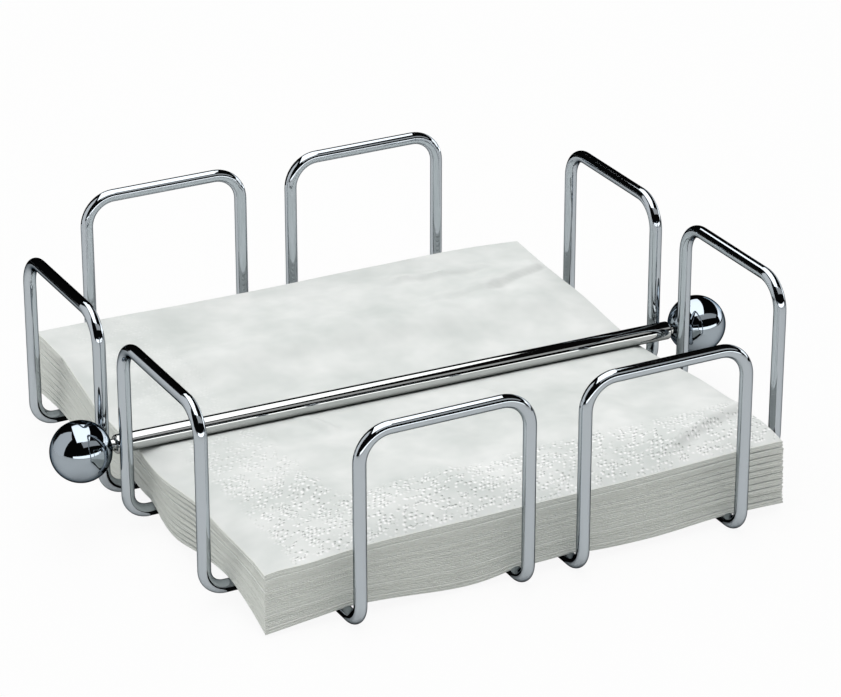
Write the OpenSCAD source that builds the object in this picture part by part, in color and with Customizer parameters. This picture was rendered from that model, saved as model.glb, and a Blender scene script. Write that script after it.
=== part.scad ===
// Napkin holder: four welded wire loops round a stack of folded napkins, with a ball-ended weight bar on the stack.
// Millimetres. Z is up, X runs along the bar, and the origin lies on the table under the middle of the holder.

/* [Wire frame] */
// Diameter of the round wire
wire_d = 3.8; // [3:0.1:5]
// Height of the loops above the table
frame_h = 61.1; // [50:0.1:120]
// Width of one loop, from wire centre to wire centre
loop_w = 51.8; // [36:0.1:60]
// Room between the napkins and the uprights
napkin_play = 7.7; // [6.5:0.1:14]
// Room beside the rod in its slot between two loops
slot_play = 4; // [1:0.1:6]
// Centre-line radius of the top corners of a loop
top_r = 9; // [4:0.1:16]
// Centre-line radius of the bends from the base up into the uprights
foot_r = 6; // [4:0.1:7]
// How far two crossing wires sink into each other at their weld
weld_set = 0.4; // [0.1:0.05:0.8]

/* [Weight bar] */
// Diameter of the rod
rod_d = 5.6; // [4:0.1:8]
// Diameter of each ball
ball_d = 18; // [16:0.1:26]
// How far the balls reach in between the uprights
ball_nest = 0.6; // [0:0.1:1]
// Diameter of the turned neck and spigot at each end of the rod
neck_d = 3.4; // [2:0.1:3.6]
// Length of neck that shows between the rod and its ball
neck_l = 1.2; // [0.5:0.1:3]
// Depth of the spigot in its ball
spigot_l = 7; // [4:0.1:8]
// Radius of the rounded shoulders at the ends of the rod
shoulder_r = 0.9; // [0.2:0.1:1]
// Slope of the bar as it lies on the stack, in degrees, with its right end low
bar_lean = 0.9; // [0:0.1:1.5]

/* [Napkins] */
// Number of napkins in the stack
napkin_count = 10; // [4:1:14]
// Side of a folded napkin
napkin_side = 165; // [150:1:200]
// Thickness of a napkin where it lies loose
loose_t = 1.6; // [1.5:0.05:2]
// Thickness of a napkin under the middle of the rod
pressed_t = 1.14; // [1:0.01:1.4]
// How far from the rod the stack is pressed down
press_reach = 28; // [20:1:40]
// How far from the left and right edges the top of the stack starts to fall
fall_reach = 50; // [30:1:70]
// Sag of the left edge between two wires
left_sag = 6; // [0:0.1:6.5]
// Sag of the right edge between two wires
right_sag = 2; // [0:0.1:6.5]
// Sag of the front edge between two wires
front_sag = 1.7; // [0:0.1:2]
// Drop of the rear edge past the last wire
rear_drop = 1; // [0:0.1:2]
// Further drop of the front left corner
corner_drop = 2.6; // [0:0.1:2.8]

/* [Hidden] */
$fn = 96;
// Gap between a napkin and the metal that carries it or rests on it
seat_gap = 0.3;
// Air between two napkins
ply_gap = 0.1;
// Radial clearance of a spigot in its bore, and the room at the bottom of that bore
spigot_fit = 0.03;
bore_end = 0.5;
// Cuts run past the face they open by this much
overrun = 1;
// Drop of each corner, front left, front right, rear left and rear right, as shares of corner_drop
corner_shares = [1, 0.4, 0, 0.2];
// Fall of the top of the stack at its left and right edges, as shares of the loose height
left_fall_share = 0.39;
right_fall_share = 0.13;
// A sag is deepest nearer the slot than the middle of its span, where this power of the way across is a half
sag_power_share = 0.6;
// Angle between two points of a rounded shoulder
shoulder_step = 15;

// Wire centres: heights of the two layers and of the top, and distances from the middle
lower_z = wire_d / 2;
upper_z = lower_z + wire_d - weld_set;
top_z = frame_h - wire_d / 2;
napkin_half = napkin_side / 2;
upright_x = napkin_half + napkin_play + wire_d / 2;
run_x = upright_x - foot_r;
slot_w = rod_d + 2 * slot_play;
inner_y = (slot_w + wire_d) / 2;
outer_y = inner_y + loop_w;
loop_y = (inner_y + outer_y) / 2;

// The stack lies on the upper wires, and its front edge comes down on the lower ones
rest_z = upper_z + wire_d / 2 + seat_gap;
front_drop = upper_z - lower_z;
overhang = napkin_half - outer_y;
loose_h = napkin_count * loose_t;
bar_z = rest_z + napkin_count * pressed_t + seat_gap + rod_d / 2 / cos(bar_lean);

// Places on the bar, measured along it from the middle
ball_x = upright_x + wire_d / 2 + ball_d / 2 - ball_nest;
shoulder_x = ball_x - ball_d / 2 - neck_l;
spigot_x = ball_x - ball_d / 2 + spigot_l;

// Lines of the mesh of a napkin: its edges, the wires under it and steps between them
third = (outer_y - inner_y) / 3;
margin = napkin_half - overhang / 2;
x_half = [inner_y, inner_y + third, outer_y, margin, napkin_half];
y_half = [inner_y, inner_y + third, outer_y - third, outer_y, margin, napkin_half];
x_lines = concat(-reversed(x_half), [0], x_half);
y_lines = concat(-reversed(y_half), [0], y_half);

function napkin_name(i) = str("napkin_", i < 10 ? "0" : "", i);
function reversed(list) = [for (i = [len(list) - 1 : -1 : 0]) list[i]];

// Share of the way across the overhang past the outer wires, from 0 on the wire to 1 at the edge
function past_share(at) = max(0, abs(at) - outer_y) / overhang;

// Share of the sag between the two wires of one loop, 0 on both of them
function sag_share(at) =
    abs(at) <= inner_y || abs(at) >= outer_y ? 0
    : pow(sin(180 * pow((abs(at) - inner_y) / loop_w, sag_power_share)), 2);

// Share of the fall of the top towards the left or right edge
function fall_share(x) = pow(max(0, abs(x) - napkin_half + fall_reach) / fall_reach, 2);

// The left edge stays up at its rear end, behind the last bay between two wires
function rear_share(y) = max(0, min(1, (margin - y) / (margin - outer_y + third)));

// Share of corner_drop that the corner nearest a point has
function corner_share(x, y) = corner_shares[(x < 0 ? 0 : 1) + (y < 0 ? 0 : 2)];

// Underside of the stack
function floor_z(x, y) =
    rest_z
    - (y < 0 ? front_drop + front_sag * sag_share(x) : rear_drop) * pow(past_share(y), 2)
    - (x < 0 ? left_sag : right_sag) * pow(past_share(x), 2) * sag_share(y)
    - corner_drop * corner_share(x, y) * past_share(x) * past_share(y);

// Top of the stack without the bar, which falls away at its edges
function loose_z(x, y) =
    rest_z + loose_h - norm([
        (y < 0 ? front_drop : rear_drop) * pow(past_share(y), 2),
        loose_h * (x < 0 ? left_fall_share * rear_share(y) : right_fall_share) * fall_share(x)
    ]);

// Underside of the rod, which slopes with the bar
function rod_floor_z(x) = bar_z - rod_d / 2 / cos(bar_lean) - x * tan(bar_lean);

// Top of the stack, pressed down along the rod
function press_share(y) = exp(-pow(y / press_reach, 2));
function pressed_z(x, y) = min(loose_z(x, y), rod_floor_z(x) - seat_gap);
function stack_z(x, y) = loose_z(x, y) * (1 - press_share(y)) + pressed_z(x, y) * press_share(y);

// Height between napkin number layer and the next
function level_z(x, y, layer) =
    floor_z(x, y) + (stack_z(x, y) - floor_z(x, y)) * layer / napkin_count;

// A quarter turn of wire, from the local X axis to the local Y axis
module wire_bend(radius) {
    rotate_extrude(angle = 90)
        translate([radius, 0])
            circle(d = wire_d);
}

// The turned-up end of a loop at +X: two foot bends, two posts and the round-cornered top
module upright(base_z) {
    post_y = loop_w / 2;
    top_half = post_y - top_r;
    for (m = [0, 1])
        mirror([0, m, 0]) {
            translate([run_x, post_y, base_z + foot_r])
                rotate([90, 0, 0])
                    rotate([0, 0, -90])
                        wire_bend(foot_r);
            translate([upright_x, post_y, base_z + foot_r])
                cylinder(d = wire_d, h = top_z - top_r - base_z - foot_r);
            translate([upright_x, top_half, top_z - top_r])
                rotate([90, 0, 90])
                    wire_bend(top_r);
        }
    translate([upright_x, top_half, top_z])
        rotate([90, 0, 0])
            cylinder(d = wire_d, h = 2 * top_half);
}

// The straight run of wire along the base at one distance from the middle
module base_run(y, base_z) {
    translate([-run_x, y, base_z])
        rotate([0, 90, 0])
            cylinder(d = wire_d, h = 2 * run_x);
}

// One closed loop of wire along X, with both ends turned up
module wire_loop(base_z) {
    for (m = [0, 1])
        mirror([m, 0, 0])
            upright(base_z);
    for (side = [-1, 1])
        base_run(side * loop_w / 2, base_z);
}

// A loop of the upper layer, let into the lower wires at its welds
module upper_loop(y) {
    difference() {
        translate([0, y, 0])
            wire_loop(upper_z);
        rotate([0, 0, 90])
            for (x = [-outer_y, -inner_y, inner_y, outer_y])
                base_run(x, lower_z);
    }
}

// A loop of the lower layer, which runs from front to back
module lower_loop(x) {
    rotate([0, 0, 90])
        translate([0, -x, 0])
            wire_loop(lower_z);
}

module upper_loop_front() {
    color("silver")
        upper_loop(-loop_y);
}

module upper_loop_rear() {
    color("silver")
        upper_loop(loop_y);
}

module lower_loop_left() {
    color("silver")
        lower_loop(-loop_y);
}

module lower_loop_right() {
    color("silver")
        lower_loop(loop_y);
}

// Lays out a shape that is drawn along X about the middle of the bar
module on_bar() {
    translate([0, 0, bar_z])
        rotate([0, bar_lean, 0])
            children();
}

// Half outline of the rod from its middle to one end, as [radius, place along it]
rod_outline = concat(
    [[0, 0], [rod_d / 2, 0]],
    [for (turn = [0 : shoulder_step : 90])
        [rod_d / 2 - shoulder_r * (1 - cos(turn)), shoulder_x - shoulder_r * (1 - sin(turn))]],
    [[neck_d / 2, shoulder_x], [neck_d / 2, spigot_x], [0, spigot_x]]
);

module bar_rod() {
    color("silver")
        on_bar()
            for (m = [0, 1])
                mirror([m, 0, 0])
                    rotate([0, 90, 0])
                        rotate_extrude()
                            polygon(rod_outline);
}

// A ball at +X, bored from the side of the rod
module bored_ball() {
    bore_x = ball_x - ball_d / 2 - overrun;
    difference() {
        translate([ball_x, 0, 0])
            sphere(d = ball_d);
        translate([bore_x, 0, 0])
            rotate([0, 90, 0])
                cylinder(d = neck_d + 2 * spigot_fit, h = spigot_x + bore_end - bore_x);
    }
}

module ball_right() {
    color("silver")
        on_bar()
            bored_ball();
}

module ball_left() {
    color("silver")
        on_bar()
            mirror([1, 0, 0])
                bored_ball();
}

// One folded napkin as a slab between two levels of the stack
module napkin(i) {
    across = len(x_lines);
    along = len(y_lines);
    under = across * along;
    function top_at(a, b) = a * along + b;
    function under_at(a, b) = under + a * along + b;
    top_points = [for (x = x_lines) for (y = y_lines) [x, y, level_z(x, y, i) - ply_gap / 2]];
    under_points = [for (x = x_lines) for (y = y_lines) [x, y, level_z(x, y, i - 1) + ply_gap / 2]];
    top_faces = [for (a = [0 : across - 2]) for (b = [0 : along - 2]) each [
        [top_at(a, b), top_at(a, b + 1), top_at(a + 1, b + 1)],
        [top_at(a, b), top_at(a + 1, b + 1), top_at(a + 1, b)]
    ]];
    under_faces = [for (a = [0 : across - 2]) for (b = [0 : along - 2]) each [
        [under_at(a, b), under_at(a + 1, b + 1), under_at(a, b + 1)],
        [under_at(a, b), under_at(a + 1, b), under_at(a + 1, b + 1)]
    ]];
    rim = concat(
        [for (a = [0 : across - 2]) [a, 0]],
        [for (b = [0 : along - 2]) [across - 1, b]],
        [for (a = [across - 1 : -1 : 1]) [a, along - 1]],
        [for (b = [along - 1 : -1 : 1]) [0, b]]
    );
    side_faces = [for (k = [0 : len(rim) - 1])
        let (p = rim[k], q = rim[(k + 1) % len(rim)])
        [top_at(p[0], p[1]), top_at(q[0], q[1]), under_at(q[0], q[1]), under_at(p[0], p[1])]
    ];
    color("white")
        polyhedron(concat(top_points, under_points), concat(top_faces, under_faces, side_faces));
}

upper_loop_front();
upper_loop_rear();
lower_loop_left();
lower_loop_right();
bar_rod();
ball_left();
ball_right();
for (i = [1 : napkin_count])
    napkin(i);
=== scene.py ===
"""Looks of a chrome wire napkin holder with a ball-ended weight bar on a stack of folded paper napkins.

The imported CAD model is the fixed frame. Its wire loops, rod and balls keep their solids and get a chrome
finish, and each napkin solid is replaced by a sheet of tissue that is folded in four. Lengths in the classes
are millimetres where their names don't say otherwise.
"""

import logging
import math
from dataclasses import dataclass, field
from enum import Enum

import bpy
import numpy as np
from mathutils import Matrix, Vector


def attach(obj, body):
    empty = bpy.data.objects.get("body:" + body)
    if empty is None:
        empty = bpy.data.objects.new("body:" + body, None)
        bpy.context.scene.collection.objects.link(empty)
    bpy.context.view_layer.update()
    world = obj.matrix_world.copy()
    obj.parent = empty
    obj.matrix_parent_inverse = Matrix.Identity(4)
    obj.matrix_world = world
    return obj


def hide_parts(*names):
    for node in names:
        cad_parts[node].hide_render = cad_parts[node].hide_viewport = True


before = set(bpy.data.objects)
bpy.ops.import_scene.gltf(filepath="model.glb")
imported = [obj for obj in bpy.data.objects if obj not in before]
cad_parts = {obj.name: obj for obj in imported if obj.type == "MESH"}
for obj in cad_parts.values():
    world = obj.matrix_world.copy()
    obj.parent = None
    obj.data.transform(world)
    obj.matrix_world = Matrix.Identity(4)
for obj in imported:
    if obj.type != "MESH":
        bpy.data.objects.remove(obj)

LOG = logging.getLogger("napkin_holder")
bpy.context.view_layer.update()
MM = 0.001
IMAGE_WIDTH = 841
WHITE = (1.0, 1.0, 1.0, 1.0)
Colour = tuple[float, float, float, float]
Socket = bpy.types.NodeSocket
Tree = bpy.types.NodeTree


class CardTone(Enum):
    """How light a studio card looks in the metal."""

    BLACK = 0.004
    GREY = 0.55
    WHITE = 0.9
    BRIGHT = 2.4
    LAMP = 8.0


def linear(code: str) -> Colour:
    """Turns an sRGB hex colour into a linear one.

    Args:
        code: The colour as #rrggbb.

    Returns:
        Red, green and blue from 0 to 1 and an alpha of 1.
    """
    shares = [int(code[at:at + 2], 16) / 255 for at in (1, 3, 5)]
    red, green, blue = (s / 12.92 if s <= 0.04045 else ((s + 0.055) / 1.055) ** 2.4 for s in shares)
    return red, green, blue, 1.0


def add_node(tree: Tree, kind: str, inputs: dict | None = None, **settings) -> bpy.types.Node:
    """Adds a node with its settings, values and links.

    Args:
        tree: The node tree that takes the node.
        kind: The node's type, such as ShaderNodeBump.
        inputs: What goes into its sockets by name or number, as values or as sockets to link from.
        settings: Properties of the node itself.

    Returns:
        The new node.
    """
    node = tree.nodes.new(kind)
    for name, value in settings.items():
        setattr(node, name, value)
    for name, value in (inputs or {}).items():
        if isinstance(value, bpy.types.NodeSocket):
            tree.links.new(value, node.inputs[name])
        else:
            node.inputs[name].default_value = value
    return node


def calculate(tree: Tree, operation: str, *values: float | Socket) -> Socket:
    """Adds a sum of numbers, such as MULTIPLY, and gives its result."""
    return add_node(tree, "ShaderNodeMath", dict(enumerate(values)), operation=operation).outputs["Value"]


def calculate_vector(tree: Tree, operation: str, *values: tuple | Socket) -> bpy.types.Node:
    """Adds a sum of vectors, such as SUBTRACT, whose result is a vector or a value."""
    return add_node(tree, "ShaderNodeVectorMath", dict(enumerate(values)), operation=operation)


def blend(tree: Tree, share: Socket, under: Colour | Socket, over: Colour | Socket) -> Socket:
    """Adds a mix of two colours that shows the second one by a share."""
    return add_node(tree, "ShaderNodeMix", {0: share, 6: under, 7: over}, data_type="RGBA").outputs[2]


def ramp(tree: Tree, value: Socket, start: float, end: float, low: float = 0.0, high: float = 1.0,
         kind: str = "LINEAR") -> Socket:
    """Adds a ramp from one level to another, level before its start and beyond its end.

    Args:
        tree: The node tree that takes the node.
        value: What the ramp runs along.
        start: Where the ramp starts.
        end: Where it ends.
        low: The level at its start.
        high: The level at its end.
        kind: The kind of ramp, such as SMOOTHSTEP.

    Returns:
        The level.
    """
    node = add_node(tree, "ShaderNodeMapRange", {
        "Value": value, "From Min": start, "From Max": end, "To Min": low, "To Max": high},
        interpolation_type=kind)
    return node.outputs["Result"]


def seen_directly(tree: Tree) -> Socket:
    """Tells the rays by which a picture shows a surface from those that light other surfaces.

    Args:
        tree: The node tree that takes the nodes.

    Returns:
        A socket that is 1 for camera, glossy and transmission rays and 0 for the rest.
    """
    path = add_node(tree, "ShaderNodeLightPath").outputs
    some = calculate(tree, "MAXIMUM", path["Is Camera Ray"], path["Is Glossy Ray"])
    return calculate(tree, "MAXIMUM", some, path["Is Transmission Ray"])


def new_material(name: str) -> tuple[bpy.types.Material, Tree]:
    """Makes an empty node material.

    Args:
        name: The name of the material.

    Returns:
        The material and its node tree.
    """
    material = bpy.data.materials.new(name)
    material.use_nodes = True
    material.node_tree.nodes.clear()
    return material, material.node_tree


def dress(piece: bpy.types.Object, material: bpy.types.Material) -> None:
    """Gives a piece one material all over."""
    piece.data.materials.clear()
    piece.data.materials.append(material)


def start_fresh() -> None:
    """Leaves nothing selected, so that an operator acts on the next new object alone."""
    bpy.ops.object.select_all(action="DESELECT")


@dataclass(frozen=True)
class Grain:
    """A soft noise: the size of its lumps, and how much finer structure they have."""

    size_mm: float
    detail: float = 2.0
    roughness: float = 0.5

    def add(self, tree: Tree, place: Socket, unit: float = 1.0) -> Socket:
        """Adds the noise over places that are given in millimetres times a unit."""
        return add_node(tree, "ShaderNodeTexNoise", {
            "Vector": place, "Scale": 1 / (self.size_mm * unit), "Detail": self.detail,
            "Roughness": self.roughness}).outputs["Fac"]


@dataclass(frozen=True)
class ChromePlate:
    """Bright chromium on polished steel: a mirror that is a little blue and darkens before its edge.

    The plate follows the steel under it, so a slow waviness bends the reflections, and wiping leaves a faint
    haze.
    """

    name: str
    face_hex: str = "#b9c0c6"
    edge_hex: str = "#16181a"
    polish: float = 0.035
    haze: float = 0.05
    haze_grain: Grain = Grain(9.0, 3.0, 0.6)
    haze_span: tuple[float, float] = (0.45, 0.8)
    wave_grain: Grain = Grain(5.0, 1.0)
    wave_depth_mm: float = 0.004

    def material(self) -> bpy.types.Material:
        """Makes the material.

        Returns:
            The chrome.
        """
        material, tree = new_material(self.name)
        place = add_node(tree, "ShaderNodeTexCoord").outputs["Object"]
        haze = self.haze_grain.add(tree, place, MM)
        roughness = ramp(tree, haze, *self.haze_span, self.polish, self.polish + self.haze)
        wave = self.wave_grain.add(tree, place, MM)
        bump = add_node(tree, "ShaderNodeBump", {
            "Height": wave, "Strength": 1.0, "Distance": self.wave_depth_mm * MM})
        shader = add_node(tree, "ShaderNodeBsdfPrincipled", {
            "Base Color": linear(self.face_hex), "Specular Tint": linear(self.edge_hex), "Metallic": 1.0,
            "Roughness": roughness, "Normal": bump.outputs["Normal"]})
        add_node(tree, "ShaderNodeOutputMaterial", {"Surface": shader.outputs["BSDF"]})
        return material


@dataclass(frozen=True)
class TissuePaper:
    """Bleached two-ply tissue, embossed with rings of dots in a border along the cut edges of the sheet.

    It is matt and soft, a little uneven in tone where the pulp is thick or thin, with a fine felted grain, and
    even in tone at its cut edges. The sheet's UV map is its flat cut, so the border and the grain follow the
    folds. A dot is pressed in; its pit is darkened as painted shade, and a white spot on one side of it is a
    painted highlight. The dots of such tissue are about 1 mm apart and are drawn coarser, so that they show.
    """

    name: str = "embossed tissue paper"
    thick_hex: str = "#e8eae8"
    thin_hex: str = "#cfd4d1"
    # The puff colour is a painted highlight on one side of each dot, and the pit colour is painted shade in
    # the dot.
    highlight_hex: str = "#ffffff"
    pit_shade_hex: str = "#c2c8c5"
    edge_hex: str = "#e0e3de"
    cut_mm: float = 330.0
    edge_mm: tuple[float, float] = (0.5, 0.1)
    border_mm: tuple[float, float] = (2.5, 29.0)
    border_shift_mm: tuple[float, float] = (5.0, 3.0)
    border_fade_mm: float = 3.0
    fold_span: tuple[float, float] = (0.2, 0.4)
    fold_press: float = 0.15
    ring_pitch_mm: float = 3.7
    ring_mm: tuple[float, float] = (0.8, 2.2)
    ring_dots: int = 6
    dot_mm: float = 0.85
    highlight_mm: float = 1.5
    # The painted highlight sits to one side of its dot, as if light came from that side.
    highlight_shift_mm: tuple[float, float] = (0.75, -0.65)
    dot_depth_mm: float = 0.35
    worn_grain: Grain = Grain(4.0, 1.0)
    worn_span: tuple[float, float] = (0.38, 0.5)
    pulp_grain: Grain = Grain(24.0, 3.0, 0.6)
    pulp_span: tuple[float, float] = (0.3, 0.7)
    felt_grain: Grain = Grain(0.9, 3.0, 0.7)
    felt_depth_mm: float = 0.02
    roughness: float = 0.92
    specular: float = 0.2
    fibre_index: float = 1.45
    sheen: float = 0.08
    sheen_roughness: float = 0.6

    def material(self) -> bpy.types.Material:
        """Makes the material.

        Returns:
            The paper.
        """
        material, tree = new_material(self.name)
        cut_map = add_node(tree, "ShaderNodeUVMap", uv_map=NapkinStack.UV_NAME).outputs["UV"]
        flat = calculate_vector(tree, "MULTIPLY", cut_map, (self.cut_mm,) * 3).outputs["Vector"]
        thick = ramp(tree, self.pulp_grain.add(tree, flat), *self.pulp_span)
        tone = blend(tree, thick, linear(self.thin_hex), linear(self.thick_hex))
        highlights, pits = self.dots(tree, flat)
        # Painted highlight beside each dot, then painted shade in its pit.
        highlighted = blend(tree, highlights, tone, linear(self.highlight_hex))
        pressed = blend(tree, pits, highlighted, linear(self.pit_shade_hex))
        outward = self.outward(tree, flat, (0.0, 0.0))[0]
        cut = ramp(tree, outward, *(self.cut_mm / 2 - edge for edge in self.edge_mm))
        colour = blend(tree, cut, pressed, linear(self.edge_hex))
        felt = self.felt_grain.add(tree, flat)
        grain = add_node(tree, "ShaderNodeBump", {
            "Height": felt, "Strength": 1.0, "Distance": self.felt_depth_mm * MM})
        bump = add_node(tree, "ShaderNodeBump", {
            "Height": pits, "Strength": 1.0, "Distance": self.dot_depth_mm * MM,
            "Normal": grain.outputs["Normal"]}, invert=True)
        shader = add_node(tree, "ShaderNodeBsdfPrincipled", {
            "Base Color": colour, "Roughness": self.roughness, "Specular IOR Level": self.specular,
            "IOR": self.fibre_index, "Sheen Weight": self.sheen, "Sheen Roughness": self.sheen_roughness,
            "Normal": bump.outputs["Normal"]})
        add_node(tree, "ShaderNodeOutputMaterial", {"Surface": shader.outputs["BSDF"]})
        return material

    def dots(self, tree: Tree, flat: Socket) -> tuple[Socket, Socket]:
        """Adds the embossed dots of the border.

        Args:
            tree: The node tree of the material.
            flat: The place on the flat sheet, in millimetres.

        Returns:
            How far a painted highlight shows beside a dot, and how far the paper is pressed in at one, which
            also sets the painted shade in the pit; both from 0 to 1.
        """
        left = ramp(tree, self.worn_grain.add(tree, flat), *self.worn_span)
        marked = calculate(tree, "MULTIPLY", left, self.border(tree, flat))
        beside = calculate_vector(tree, "ADD", flat, (*self.highlight_shift_mm, 0.0)).outputs["Vector"]
        highlights = self.spots(tree, beside, self.highlight_mm, marked)
        return highlights, self.spots(tree, flat, self.dot_mm, marked)

    def spots(self, tree: Tree, place: Socket, size_mm: float, marked: Socket) -> Socket:
        """Adds round spots that stand in rings of different sizes.

        Args:
            tree: The node tree of the material.
            place: The place on the flat sheet, in millimetres.
            size_mm: How wide a spot is.
            marked: How clearly the spots show, from 0 to 1.

        Returns:
            Up to 1 in the middle of a spot and 0 outside it.
        """
        cells = add_node(tree, "ShaderNodeTexVoronoi", {
            "Vector": place, "Scale": 1 / self.ring_pitch_mm, "Randomness": 1.0}, voronoi_dimensions="2D")
        spoke = calculate_vector(tree, "SUBTRACT", place, cells.outputs["Position"]).outputs["Vector"]
        parts = add_node(tree, "ShaderNodeSeparateXYZ", {0: spoke}).outputs
        turn = calculate(tree, "ARCTAN2", parts["Y"], parts["X"])
        count = calculate(tree, "MULTIPLY", turn, self.ring_dots / (2 * math.pi))
        share = calculate(tree, "PINGPONG", count, 0.5)
        along = calculate(tree, "MULTIPLY", share, math.pi * sum(self.ring_mm) / self.ring_dots)
        ring = ramp(tree, cells.outputs["Color"], 0.0, 1.0, *self.ring_mm)
        length = calculate_vector(tree, "LENGTH", spoke).outputs["Value"]
        off = calculate(tree, "SUBTRACT", length, ring)
        both = add_node(tree, "ShaderNodeCombineXYZ", {"X": off, "Y": along}).outputs["Vector"]
        away = calculate_vector(tree, "LENGTH", both).outputs["Value"]
        spot = ramp(tree, away, size_mm / 2, 0.0, kind="SMOOTHSTEP")
        return calculate(tree, "MULTIPLY", spot, marked)

    def outward(self, tree: Tree, flat: Socket, shift: tuple[float, float]) -> tuple[Socket, Socket]:
        """Adds the way from the middle of the sheet towards its cut edges.

        Args:
            tree: The node tree of the material.
            flat: The place on the flat sheet, in millimetres.
            shift: How far the middle is off.

        Returns:
            The longer of the ways across and along the sheet, and the way along it, in millimetres.
        """
        centre = [self.cut_mm / 2 + off for off in shift] + [0.0]
        middle = calculate_vector(tree, "SUBTRACT", flat, centre).outputs["Vector"]
        away = calculate_vector(tree, "ABSOLUTE", middle).outputs["Vector"]
        parts = add_node(tree, "ShaderNodeSeparateXYZ", {0: away}).outputs
        return calculate(tree, "MAXIMUM", parts["X"], parts["Y"]), parts["Y"]

    def border(self, tree: Tree, flat: Socket) -> Socket:
        """Adds the band round the sheet that is embossed, and faintly so beside the middle fold.

        Args:
            tree: The node tree of the material.
            flat: The place on the flat sheet, in millimetres.

        Returns:
            Up to 1 within the band and 0 outside it.
        """
        outward, along = self.outward(tree, flat, self.border_shift_mm)
        outer, inner = (self.cut_mm / 2 - edge for edge in self.border_mm)
        begins = ramp(tree, outward, inner, inner + self.border_fade_mm)
        ends = ramp(tree, outward, outer, outer - self.border_fade_mm)
        band = calculate(tree, "MULTIPLY", begins, ends)
        pressed = ramp(tree, along, *(share * self.cut_mm for share in self.fold_span), self.fold_press)
        return calculate(tree, "MULTIPLY", band, pressed)


@dataclass(frozen=True)
class StudioPaper:
    """Matt white paper under the holder, which shows nearly white and keeps a soft shadow."""

    name: str = "matt white studio paper"
    paper_hex: str = "#e6e6e4"
    lift: float = 0.92
    pale_hex: str = "#ebebea"
    mirror_lift: float = 0.06
    cloud_grain: Grain = Grain(160.0)

    def material(self) -> bpy.types.Material:
        """Makes the material.

        Returns:
            The paper.
        """
        material, tree = new_material(self.name)
        place = add_node(tree, "ShaderNodeTexCoord").outputs["Object"]
        cloud = self.cloud_grain.add(tree, place, MM)
        tone = blend(tree, cloud, linear(self.paper_hex), linear(self.pale_hex))
        paper = add_node(tree, "ShaderNodeBsdfDiffuse", {"Color": tone})
        white = add_node(tree, "ShaderNodeEmission", {"Color": WHITE, "Strength": 1.0})
        in_mirrors = calculate(tree, "MULTIPLY", seen_directly(tree), self.mirror_lift)
        in_picture = add_node(tree, "ShaderNodeLightPath").outputs["Is Camera Ray"]
        share = calculate(tree, "MULTIPLY_ADD", in_picture, self.lift - self.mirror_lift, in_mirrors)
        mixed = add_node(tree, "ShaderNodeMixShader", {
            0: share, 1: paper.outputs["BSDF"], 2: white.outputs["Emission"]})
        add_node(tree, "ShaderNodeOutputMaterial", {"Surface": mixed.outputs["Shader"]})
        return material


@dataclass(frozen=True)
class Lamp:
    """A soft box, which shines down where it isn't tilted and doesn't show in the metal."""

    name: str
    watts: float
    size_m: tuple[float, float]
    place_m: tuple[float, float, float]
    tilt_deg: tuple[float, float, float]

    def build(self) -> None:
        """Hangs the lamp."""
        data = bpy.data.lights.new(self.name, "AREA")
        data.shape = "RECTANGLE"
        data.size, data.size_y = self.size_m
        data.energy = self.watts
        lamp = bpy.data.objects.new(self.name, data)
        lamp.location = self.place_m
        lamp.rotation_euler = [math.radians(turn) for turn in self.tilt_deg]
        lamp.visible_camera = lamp.visible_glossy = False
        bpy.context.scene.collection.objects.link(lamp)


@dataclass(frozen=True)
class Card:
    """A flat card of the studio, which stands outside the picture and shows only in the metal."""

    name: str
    tone: CardTone
    place_m: tuple[float, float, float]
    size_m: tuple[float, float]
    tilt_deg: tuple[float, float, float]

    def build(self) -> None:
        """Sets the card up."""
        start_fresh()
        bpy.ops.mesh.primitive_plane_add(size=1, location=self.place_m,
                                         rotation=[math.radians(turn) for turn in self.tilt_deg])
        card = bpy.context.object
        card.scale = (*self.size_m, 1.0)
        bpy.ops.object.transform_apply(location=False, rotation=False, scale=True)
        finish_card(card, self.name, self.tone)


def finish_card(card: bpy.types.Object, name: str, tone: CardTone) -> None:
    """Gives a card its tone and keeps it out of all but the reflections.

    Args:
        card: The card's mesh.
        name: Its name.
        tone: How light it looks.
    """
    card.name = name
    material, tree = new_material(f"{tone.name.lower()} card")
    face = add_node(tree, "ShaderNodeEmission", {"Color": WHITE, "Strength": tone.value})
    add_node(tree, "ShaderNodeOutputMaterial", {"Surface": face.outputs["Emission"]})
    dress(card, material)
    card.visible_camera = card.visible_diffuse = card.visible_shadow = False
    card.visible_transmission = card.visible_volume_scatter = False


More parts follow.
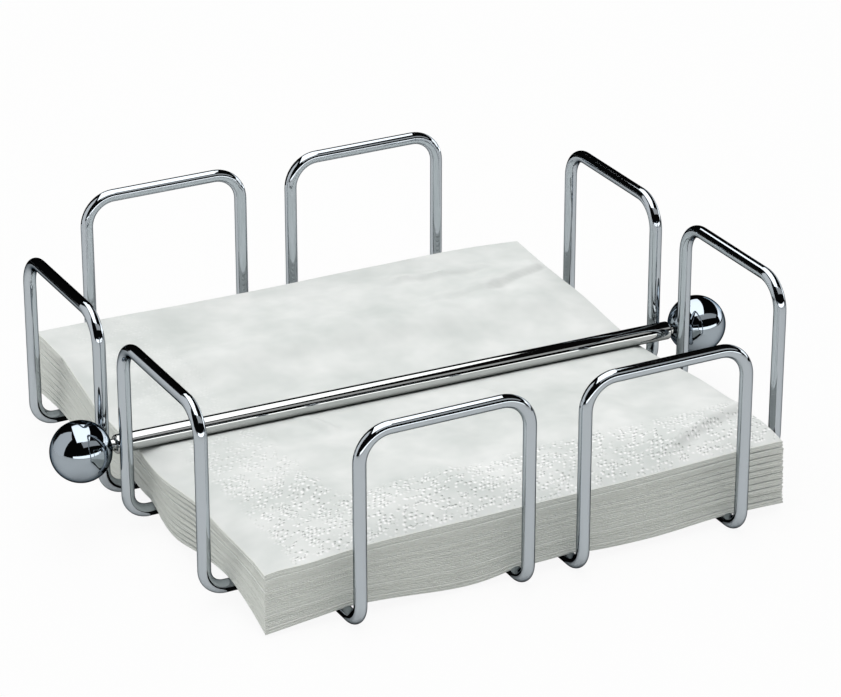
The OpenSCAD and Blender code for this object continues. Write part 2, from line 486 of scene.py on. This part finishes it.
@dataclass
class Studio:
    """The camera, the lamps, the floor and the cards that the chrome mirrors."""

    focal_px: float = 3577.0
    sensor_mm: float = 36.0
    clip_m: tuple[float, float] = (0.05, 100.0)
    azimuth_deg: float = -27.79
    elevation_deg: float = 24.54
    distance_mm: float = 1054.8
    target_mm: tuple[float, float, float] = (5.94, -0.75, 32.93)
    floor_m: float = 12.0
    ambient: float = 0.33
    lamps_at: tuple[Lamp, ...] = (
        Lamp("soft_box", 10.8, (0.81, 1.9), (0.12, 0.2, 1.0), (0.0, 0.0, -27.79)),
        Lamp("fill_box", 3.3, (1.0, 1.0), (-1.2, 0.1, 0.85), (0.0, -55.0, -5.0)),
    )
    tent_m: tuple[float, float, float] = (5.0, 5.0, 2.4)
    tent_lift_m: float = 0.03
    downward: float = -0.5
    cards_at: tuple[Card, ...] = (
        Card("box_card", CardTone.BRIGHT, (0.101, 0.283, 1.0), (0.885, 1.8), (0.0, 0.0, -15.0)),
        Card("strip_card", CardTone.GREY, (1.2, -0.93, 1.0), (3.0, 0.66), (0.0, 0.0, 0.0)),
        Card("front_card", CardTone.BRIGHT, (0.1, -1.7, 0.16), (4.6, 0.3), (90.0, 0.0, 0.0)),
        Card("left_card", CardTone.WHITE, (-0.335, 0.125, 0.275), (0.336, 0.55), (90.0, 0.0, 59.5)),
        Card("right_card", CardTone.LAMP, (0.32, 0.165, 0.015), (0.12, 0.03), (90.0, 0.0, 126.9)),
        Card("rear_card", CardTone.BLACK, (0.0, 1.37, 0.003), (5.0, 2.26), (0.0, 0.0, 0.0)),
        Card("side_card", CardTone.BRIGHT, (1.146, 0.355, 0.18), (1.33, 0.36), (90.0, 0.0, -72.8)),
        Card("foot_card", CardTone.BLACK, (0.73, 0.0, 0.003), (0.74, 0.5), (0.0, 0.0, 0.0)),
        # A black sheet under the holder that only the metal shows: painted shadow in what the wires under the
        # stack mirror.
        Card("under_shadow_card", CardTone.BLACK, (0.0, 0.0, 0.001), (0.17, 0.17), (0.0, 0.0, 0.0)),
    )

    def build(self) -> None:
        """Sets up the whole studio."""
        self.camera()
        self.world()
        self.floor()
        for lamp in self.lamps_at:
            lamp.build()
        self.tent()
        for card in self.cards_at:
            card.build()
        bpy.context.scene.view_settings.view_transform = "Standard"

    def camera(self) -> None:
        """Puts the camera where the photograph was taken from."""
        data = bpy.data.cameras.new("camera")
        data.sensor_width = self.sensor_mm
        data.lens = self.focal_px / IMAGE_WIDTH * self.sensor_mm
        data.clip_start, data.clip_end = self.clip_m
        camera = bpy.data.objects.new("camera", data)
        bpy.context.scene.collection.objects.link(camera)
        turn, rise = math.radians(self.azimuth_deg), math.radians(self.elevation_deg)
        level = math.cos(rise)
        back = Vector((math.sin(turn) * level, -math.cos(turn) * level, math.sin(rise)))
        camera.location = (Vector(self.target_mm) + back * self.distance_mm) * MM
        camera.rotation_mode = "QUATERNION"
        camera.rotation_quaternion = (-back).to_track_quat("-Z", "Y")
        bpy.context.scene.camera = camera

    def world(self) -> None:
        """Lights the scene evenly, and is white where a picture shows it."""
        world = bpy.data.worlds.new("studio")
        world.use_nodes = True
        tree = world.node_tree
        tree.nodes.clear()
        strength = ramp(tree, seen_directly(tree), 0.0, 1.0, self.ambient)
        light = add_node(tree, "ShaderNodeBackground", {"Color": WHITE, "Strength": strength})
        add_node(tree, "ShaderNodeOutputWorld", {"Surface": light.outputs["Background"]})
        bpy.context.scene.world = world

    def floor(self) -> None:
        """Lays the pale floor under the holder."""
        start_fresh()
        bpy.ops.mesh.primitive_plane_add(size=self.floor_m)
        floor = bpy.context.object
        floor.name = "studio_floor"
        dress(floor, StudioPaper().material())

    def tent(self) -> None:
        """Sets up the dark tent round the holder: a box without a bottom that shows only in the metal."""
        start_fresh()
        middle = (0, 0, self.tent_m[2] / 2 + self.tent_lift_m)
        bpy.ops.mesh.primitive_cube_add(size=1, location=middle, scale=self.tent_m)
        bpy.ops.object.mode_set(mode="EDIT")
        bpy.ops.mesh.select_all(action="DESELECT")
        bpy.ops.object.mode_set(mode="OBJECT")
        tent = bpy.context.object
        for face in tent.data.polygons:
            face.select = face.normal.z < self.downward
        bpy.ops.object.mode_set(mode="EDIT")
        bpy.ops.mesh.delete(type="FACE")
        bpy.ops.object.mode_set(mode="OBJECT")
        finish_card(tent, "dark_tent", CardTone.BLACK)


@dataclass
class WireFrame:
    """The four welded loops of chromed wire."""

    nodes: tuple[str, ...] = ("upper_loop_front", "upper_loop_rear", "lower_loop_left", "lower_loop_right")

    def build(self) -> None:
        """Gives the loops their chrome."""
        chrome = ChromePlate("bright chrome on drawn steel wire").material()
        for node in self.nodes:
            dress(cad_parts[node], chrome)
            LOG.info("%s: chromed", node)


@dataclass
class WeightBar:
    """The rod and the two balls on its ends."""

    rod: str = "bar_rod"
    balls: tuple[str, ...] = ("ball_left", "ball_right")
    rod_plate: ChromePlate = ChromePlate("bright chrome on bar steel", face_hex="#bcbebd", polish=0.02,
                                         haze=0.03, wave_depth_mm=0.002)
    # The balls' chrome has a darker face than the rod's and the wires': painted shade that darkens what the
    # balls mirror.
    shaded_ball_plate: ChromePlate = ChromePlate("chrome on turned steel with painted shade", face_hex="#a3acb4", polish=0.02,
                                          haze=0.03, wave_depth_mm=0.002)

    def build(self) -> None:
        """Gives the rod and the balls their chrome."""
        dress(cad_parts[self.rod], self.rod_plate.material())
        shaded_ball_chrome = self.shaded_ball_plate.material()
        for node in self.balls:
            dress(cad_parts[node], shaded_ball_chrome)
        LOG.info("%s and %d balls: chromed", self.rod, len(self.balls))


def nearness(x: np.ndarray, y: np.ndarray, place: tuple[float, float],
             reach: tuple[float, float]) -> np.ndarray:
    """How near places on the stack are to one of them: 1 at it, and little beyond its reach."""
    across, along = ((way - at) / far for way, at, far in zip((x, y), place, reach))
    return np.exp(-across ** 2 - along ** 2)


@dataclass(frozen=True)
class Crease:
    """A soft fold in the top napkin: the paper rises behind a line and falls back beyond it."""

    start: tuple[float, float]
    end: tuple[float, float]
    height: float
    width: float
    reach: float

    def at(self, x: np.ndarray, y: np.ndarray) -> np.ndarray:
        """Gives the lift of the paper at places on the stack.

        Args:
            x: Places along the bar.
            y: Places across it.

        Returns:
            How far the paper rises.
        """
        way = np.array(self.end) - np.array(self.start)
        length = np.hypot(*way)
        along = ((x - self.start[0]) * way[0] + (y - self.start[1]) * way[1]) / length
        behind = ((y - self.start[1]) * way[0] - (x - self.start[0]) * way[1]) / length
        beyond = np.maximum(0, np.abs(along - length / 2) - length / 2)
        rise = 0.5 + 0.5 * np.tanh(2 * behind / self.width)
        away = (np.maximum(0, behind) / self.reach) ** 2 + (beyond / self.reach) ** 2
        return self.height * rise * np.exp(-away)


@dataclass(frozen=True)
class Nudge:
    """A push that the stack has had near a place, with its share at the foot and at the top of the stack."""

    place: tuple[float, float]
    reach: tuple[float, float]
    move: tuple[float, float, float]
    low: float
    high: float

    def at(self, x: np.ndarray, y: np.ndarray, share: float | np.ndarray) -> np.ndarray:
        """Moves along the three axes, at places on the stack and a share of its height."""
        near = nearness(x, y, self.place, self.reach)
        return np.outer(self.move, near * (self.low + (self.high - self.low) * share))


@dataclass(frozen=True)
class Parting:
    """A place at an edge of the stack where the napkins stand apart."""

    place: tuple[float, float]
    reach: tuple[float, float]
    gap: float

    def at(self, x: np.ndarray, y: np.ndarray) -> np.ndarray:
        """How far the napkins stand apart at places on the stack."""
        return self.gap * nearness(x, y, self.place, self.reach)


@dataclass(frozen=True)
class StackForm:
    """How the stack lies on the wires and under the rod."""

    count: int = 10
    half: float = 82.5
    inner: float = 8.7
    outer: float = 60.5
    rest_z: float = 7.5
    loose_t: float = 1.6
    pressed_t: float = 1.14
    press_reach: float = 28.0
    fall_reach: float = 50.0
    front_drop: float = 3.4
    front_sag: float = 1.7
    rear_drop: float = 1.0
    left_sag: float = 6.0
    right_sag: float = 2.0
    corner_drop: float = 2.6
    corner_shares: tuple[float, ...] = (1.0, 0.4, 0.0, 0.2)
    left_fall_share: float = 0.39
    held_share: float = 0.5
    held_reach: float = 11.0
    rear_ramp: tuple[float, float] = (38.0, 61.0)
    right_fall_share: float = 0.13
    sag_power: float = 0.6
    lean_deg: float = 0.9

    def past(self, at: np.ndarray) -> np.ndarray:
        """Share of the way across the overhang past the outer wires."""
        return np.maximum(0, np.abs(at) - self.outer) / (self.half - self.outer)

    def sag(self, at: np.ndarray) -> np.ndarray:
        """Share of the sag between the two wires of a loop."""
        way = np.clip((np.abs(at) - self.inner) / (self.outer - self.inner), 0, 1)
        return np.sin(math.pi * way ** self.sag_power) ** 2

    def press(self, y: np.ndarray) -> np.ndarray:
        """Share of the press of the rod."""
        return np.exp(-(y / self.press_reach) ** 2)

    def within(self, x: np.ndarray, y: np.ndarray, fade: float) -> np.ndarray:
        """Share that is 0 at the edges of the stack and full from a width of fade inwards."""
        return np.prod([np.clip((self.half - np.abs(at)) / fade, 0, 1) for at in (x, y)], axis=0)

    def floor(self, x: np.ndarray, y: np.ndarray) -> np.ndarray:
        """Gives the underside of the stack.

        Args:
            x: Places along the bar.
            y: Places across it.

        Returns:
            The heights.
        """
        corner = np.array(self.corner_shares)[(x >= 0).astype(int) + 2 * (y >= 0).astype(int)]
        edge = np.where(y < 0, self.front_drop + self.front_sag * self.sag(x), self.rear_drop)
        side = np.where(x < 0, self.left_sag, self.right_sag)
        return (self.rest_z - edge * self.past(y) ** 2 - side * self.past(x) ** 2 * self.sag(y)
                - self.corner_drop * corner * self.past(x) * self.past(y))

    def top(self, x: np.ndarray, y: np.ndarray) -> np.ndarray:
        """Gives the top of the stack under the rod's weight.

        Args:
            x: Places along the bar.
            y: Places across it.

        Returns:
            The heights.
        """
        loose = self.count * self.loose_t
        rear = np.clip((self.rear_ramp[1] - y) / (self.rear_ramp[1] - self.rear_ramp[0]), 0, 1)
        fall = (np.maximum(0, np.abs(x) - self.half + self.fall_reach) / self.fall_reach) ** 2
        held = 1 - self.held_share * np.exp(-(y / self.held_reach) ** 2)
        side = loose * np.where(x < 0, self.left_fall_share * rear * held, self.right_fall_share) * fall
        edge = np.where(y < 0, self.front_drop, self.rear_drop) * self.past(y) ** 2
        free = self.rest_z + loose - np.hypot(edge, side)
        under_rod = self.rest_z + self.count * self.pressed_t - x * math.tan(math.radians(self.lean_deg))
        return free + self.press(y) * (np.minimum(free, under_rod) - free)

    def level(self, x: np.ndarray, y: np.ndarray, number: int) -> np.ndarray:
        """Height between two napkins, with so many of them below."""
        floor = self.floor(x, y)
        return floor + (self.top(x, y) - floor) * number / self.count


@dataclass
class NapkinStack:
    """Ten luncheon napkins, each a sheet folded in four, with its cut edges to the front and the left."""

    UV_NAME = "flat_cut"

    form: StackForm = field(default_factory=StackForm)
    body: str = "napkin_stack"
    slot: str = "napkin_paper"
    cut: float = 330.0
    plies: int = 4
    ply_share: float = 0.96
    air: float = 0.05
    cells: tuple[int, int] = (56, 56)
    top_cells: tuple[int, int] = (170, 36)
    bend_cells: int = 6
    widest_bend: float = 1.5
    folded_rad: float = 1.0
    over_rad: float = 2.0
    smooth_deg: float = 50.0
    edge_share: float = 0.3
    slump: float = 2.6
    corner_push: float = 3.2
    shift: float = 0.14
    uneven: float = 0.12
    shift_seed: int = 140
    ripple: float = 0.16
    ripple_lengths: tuple[float, float] = (28.0, 80.0)
    calm_napkins: int = 2
    rumple: float = 1.6
    rumple_lengths: tuple[float, float] = (13.0, 40.0)
    top_napkins: int = 3
    calm_edge: float = 25.0
    wave_count: int = 7
    wave_seed: int = 20
    hug: float = 1.2
    hug_core: float = 2.0
    hug_reach: float = 13.0
    edge_fade: float = 4.0
    swells: tuple[Crease, ...] = (
        Crease((-66.0, 36.0), (28.0, 31.0), 2.8, 9.0, 15.0),
        Crease((42.0, 38.0), (66.0, 30.0), 1.6, 5.0, 10.0),
        Crease((34.0, -32.0), (44.0, -18.0), 0.8, 6.0, 9.0),
    )
    creases: tuple[Crease, ...] = (
        Crease((31.0, 63.4), (59.0, 63.4), 1.6, 0.8, 5.0),
        Crease((61.0, 50.0), (85.0, 60.0), 1.9, 0.8, 7.0),
        Crease((36.0, 46.5), (56.0, 48.5), 1.3, 1.2, 6.0),
        Crease((-10.0, 66.0), (16.0, 66.5), 0.7, 1.0, 7.0),
        Crease((55.0, -72.0), (82.0, -60.6), 2.6, 2.2, 8.0),
        Crease((-49.0, -15.0), (-47.0, -7.0), 0.8, 1.8, 2.6),
        Crease((-34.8, -8.0), (-32.6, -15.0), 2.2, 1.8, 3.2),
        Crease((24.0, -15.0), (22.0, -7.0), 0.8, 1.8, 2.6),
        Crease((65.0, -15.0), (66.0, -7.0), 0.7, 1.8, 2.6),
    )
    nudges: tuple[Nudge, ...] = (
        Nudge((30.0, -83.0), (110.0, 22.0), (0.0, -3.2, 0.0), 1.0, 0.0),
        Nudge((78.0, -83.0), (30.0, 20.0), (0.0, 0.0, 1.4), 0.0, 1.0),
        Nudge((83.0, -83.0), (30.0, 30.0), (-2.2, 0.0, 0.0), 1.3, 0.8),
        Nudge((-83.0, -4.0), (14.0, 16.0), (-2.4, 0.0, 0.0), 1.0, 1.0),
        Nudge((-83.0, -37.0), (16.0, 12.0), (0.0, 0.0, 1.3), 0.3, 1.0),
        Nudge((-83.0, 84.0), (45.0, 14.0), (0.0, 0.0, 1.3), 0.0, 1.0),
        Nudge((-83.0, -83.0), (9.0, 9.0), (-0.4, 2.8, 0.0), 0.0, 1.0),
        Nudge((23.0, -84.0), (15.0, 14.0), (0.0, 0.0, 1.5), 1.0, 0.0),
        Nudge((-84.0, -30.0), (14.0, 15.0), (0.0, 0.0, 1.5), 1.0, 0.0),
    )
    partings: tuple[Parting, ...] = (
        Parting((-85.0, -36.0), (9.0, 13.0), 0.65),
        Parting((-84.0, 62.0), (7.0, 9.0), 0.2),
        Parting((73.0, -85.0), (7.0, 9.0), 0.36),
        Parting((56.0, -85.0), (10.0, 8.0), 0.2),
    )

    def build(self) -> None:
        """Folds, dresses and declares every napkin."""
        paper = TissuePaper(cut_mm=self.cut).material()
        for number in range(1, self.form.count + 1):
            piece = self.fold(number)
            dress(piece, paper)
            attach(piece, self.body)
            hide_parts(f"napkin_{number:02d}")
            LOG.info("%s: %d faces", piece.name, len(piece.data.polygons))

    def surface(self, x: np.ndarray, y: np.ndarray, number: int) -> np.ndarray:
        """Gives the surface between two napkins, with the ripples and swells that both follow.

        Args:
            x: Places along the bar.
            y: Places across it.
            number: How many napkins lie below.

        Returns:
            The heights.
        """
        form = self.form
        laid = min(1.0, number / self.calm_napkins)
        near_top = max(0.0, 1 - (form.count - number) / self.top_napkins)
        ripples = self.ripple * laid * self.waves(x, y, self.ripple_lengths, self.wave_seed + number)
        inner = form.within(x, y, self.calm_edge)
        rumples = self.rumple * inner * self.waves(x, y, self.rumple_lengths, self.wave_seed)
        swells = sum(swell.at(x, y) for swell in self.swells)
        lifts = sum(nudge.at(x, y, number / form.count)[2] for nudge in self.nudges)
        free = 1 - form.press(y)
        return form.level(x, y, number) + lifts + free * (ripples + near_top * rumples) + near_top * swells

    def waves(self, x: np.ndarray, y: np.ndarray, lengths: tuple[float, float], seed: int) -> np.ndarray:
        """Gives a soft unevenness that is the sum of some waves across the stack.

        Args:
            x: Places along the bar.
            y: Places across it.
            lengths: Shortest and longest wave.
            seed: Start of the random draw.

        Returns:
            The unevenness, mostly between -1 and 1.
        """
        draw = np.random.RandomState(seed)
        total = np.zeros_like(x)
        for _ in range(self.wave_count):
            turn = draw.uniform(0, math.pi)
            length = draw.uniform(*lengths)
            phase = draw.uniform(0, 2 * math.pi)
            total += np.sin(2 * math.pi * (x * math.cos(turn) + y * math.sin(turn)) / length + phase)
        return total / self.wave_count

    def fold_lines(self, before: int, after: int) -> tuple[np.ndarray, np.ndarray]:
        """Gives the lines of the sheet across one fold, from cut edge to cut edge.

        Args:
            before: Number of cells from the first edge to the fold.
            after: Number of cells from the fold to the other edge.

        Returns:
            The share of the way from the cut edge to the fold, and the turn round the fold in radians.
        """
        ways = []
        for cells in (before, after):
            even = np.linspace(0, 1, cells + 1)
            eased = 0.5 - 0.5 * np.cos(math.pi * even)
            ways.append((1 - self.edge_share) * even + self.edge_share * eased)
        bend = np.linspace(0, math.pi, self.bend_cells + 1)[1:-1]
        shares = np.concatenate([ways[0], np.ones(len(bend)), ways[1][::-1]])
        turns = np.concatenate([np.zeros(before + 1), bend, np.full(after + 1, math.pi)])
        return shares, turns

    def fold(self, number: int) -> bpy.types.Object:
        """Makes one napkin.

        Args:
            number: Its place in the stack, from 1 at the bottom.

        Returns:
            The folded sheet.
        """
        fine, coarse = self.top_cells if number == self.form.count else self.cells
        folds = (self.fold_lines(fine, coarse), self.fold_lines(coarse, fine))
        lines = len(folds[0][0])
        start_fresh()
        bpy.ops.mesh.primitive_grid_add(x_subdivisions=lines - 1, y_subdivisions=lines - 1, size=1)
        piece = bpy.context.object
        piece.name = f"folded_napkin_{number:02d}"
        mesh = piece.data
        places = np.empty(len(mesh.vertices) * 3)
        mesh.vertices.foreach_get("co", places)
        line_of = [np.rint((places[axis::3] + 0.5) * (lines - 1)).astype(int) for axis in (0, 1)]
        first, second = ((shares[line], turns[line]) for (shares, turns), line in zip(folds, line_of))
        room = self.lay(mesh, number, first, second)
        self.mark_cut(mesh, *(np.where(turns > math.pi / 2, 2 - shares, shares) / 2
                              for shares, turns in (first, second)))
        ply = piece.vertex_groups.new(name="ply")
        for point, share in enumerate(room / room.max()):
            ply.add([point], float(share), "REPLACE")
        modifier = piece.modifiers.new("ply", "SOLIDIFY")
        modifier.thickness, modifier.offset = self.ply_share * room.max() * MM, 0.0
        modifier.vertex_group = ply.name
        bpy.ops.object.modifier_apply(modifier=modifier.name)
        bpy.ops.object.shade_smooth_by_angle(angle=math.radians(self.smooth_deg))
        return piece

    def lay(self, mesh: bpy.types.Mesh, number: int, first: tuple[np.ndarray, np.ndarray],
            second: tuple[np.ndarray, np.ndarray]) -> np.ndarray:
        """Moves a flat grid into its folded place in the stack.

        Args:
            mesh: The grid.
            number: The napkin's place in the stack.
            first: Share and turn of every point across the fold on the right.
            second: Share and turn of every point across the fold at the rear.

        Returns:
            The room that the stack leaves for one ply at every point, in millimetres.
        """
        form, draw = self.form, np.random.RandomState(self.shift_seed + number)
        (share_x, turn_x), (share_y, turn_y) = first, second
        spacing = form.loose_t / self.plies
        inside = -0.5 * np.cos(turn_x)
        radius = 1 - inside
        corner = (turn_x > self.folded_rad).astype(int) + 2 * (turn_y > self.folded_rad).astype(int)
        step_x, step_y = draw.uniform(-self.uneven, self.uneven, (2, 4))
        shift_x, shift_y = draw.uniform(-self.shift, self.shift, 2)
        end = form.half - self.widest_bend * spacing
        x = -form.half + (form.half + end) * share_x + 0.5 * spacing * np.sin(turn_x)
        y = -form.half + (form.half + end) * share_y + spacing * radius * np.sin(turn_y)
        x = x + shift_x + step_x[corner] * (1 - share_x) ** 3
        y = y + shift_y + step_y[corner] * (1 - share_y) ** 3
        level = -radius * np.cos(turn_y)
        height = (number - 0.5 + level / self.plies) / form.count
        x = x - self.slump * (1 - height) * np.clip(-x / form.half, 0, 1) ** 2 * (1 - form.press(y))
        side, rear = (np.clip(way / form.half, 0, 1) for way in (x, y))
        pushes = sum(nudge.at(x, y, height) for nudge in self.nudges)
        x = x + self.corner_push * side ** 2 * rear ** 4 + pushes[0]
        y = y + pushes[1]
        upper, lower = self.surface(x, y, number), self.surface(x, y, number - 1)
        gap = self.air + sum(parting.at(x, y) for parting in self.partings)
        room = (upper - lower - gap) / self.plies
        z = (upper + lower) / 2 + level * room
        if number == form.count:
            top_ply = (turn_x < self.folded_rad) & (turn_y > self.over_rad)
            z = z + np.where(top_ply, self.rise(x, y), 0)
        mesh.vertices.foreach_set("co", np.stack([x, y, z], axis=1).ravel() * MM)
        mesh.update()
        return room

    def rise(self, x: np.ndarray, y: np.ndarray) -> np.ndarray:
        """Gives the rise of the top ply from the one below: in its creases, and on both sides of the rod.

        Args:
            x: Places along the bar.
            y: Places across it.

        Returns:
            The rise, which runs out at the edges.
        """
        beside = self.hug * np.exp(-(y / self.hug_reach) ** 2) * (1 - np.exp(-(y / self.hug_core) ** 2))
        creases = sum(crease.at(x, y) for crease in self.creases)
        return self.form.within(x, y, self.edge_fade) * (beside + creases)

    def mark_cut(self, mesh: bpy.types.Mesh, across: np.ndarray, along: np.ndarray) -> None:
        """Writes each point's place on the flat sheet to the UV map.

        Args:
            mesh: The sheet's mesh.
            across: Share of the way across the flat sheet, for every point.
            along: Share of the way along it.
        """
        layer = mesh.uv_layers.active or mesh.uv_layers.new()
        layer.name = self.UV_NAME
        corners = np.empty(len(mesh.loops), dtype=np.int32)
        mesh.loops.foreach_get("vertex_index", corners)
        layer.data.foreach_set("uv", np.stack([across[corners], along[corners]], axis=1).ravel())


def main() -> None:
    """Builds the studio and every sub-assembly in order."""
    logging.basicConfig(level=logging.INFO, format="%(name)s %(message)s")
    Studio().build()
    for assembly in (WireFrame(), WeightBar(), NapkinStack()):
        assembly.build()


if __name__ == "__main__":
    main()
